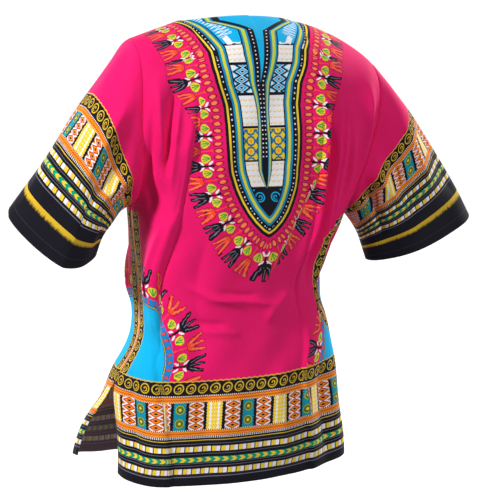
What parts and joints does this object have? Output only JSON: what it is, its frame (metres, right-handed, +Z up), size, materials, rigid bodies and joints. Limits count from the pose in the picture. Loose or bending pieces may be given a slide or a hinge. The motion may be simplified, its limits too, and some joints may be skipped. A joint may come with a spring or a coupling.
{
  "type": "dashiki shirt",
  "caption": "Hip-length dashiki shirt with wide elbow sleeves, an open round neck with a short front slit and open side vents, hollow as worn.",
  "frame": {"origin": "middle of the shoulders at the base of the neck, where the wearer holds the shirt up", "axes": "+Z up, front of the shirt toward -Y, back toward +Y, wearer's left toward +X"},
  "size_m": [0.8443, 0.2814, 0.7656],
  "materials": {
    "panel_cotton": "plain woven cotton, wax-style print, hot pink ground",
    "sleeve_cotton": "plain woven cotton, wax-style print, black banded ground"
  },
  "bodies": {
    "root": {"back_panel": "panel_cotton", "front_panel": "panel_cotton", "sleeve_left": "sleeve_cotton", "sleeve_right": "sleeve_cotton"}
  },
  "joints": []
}
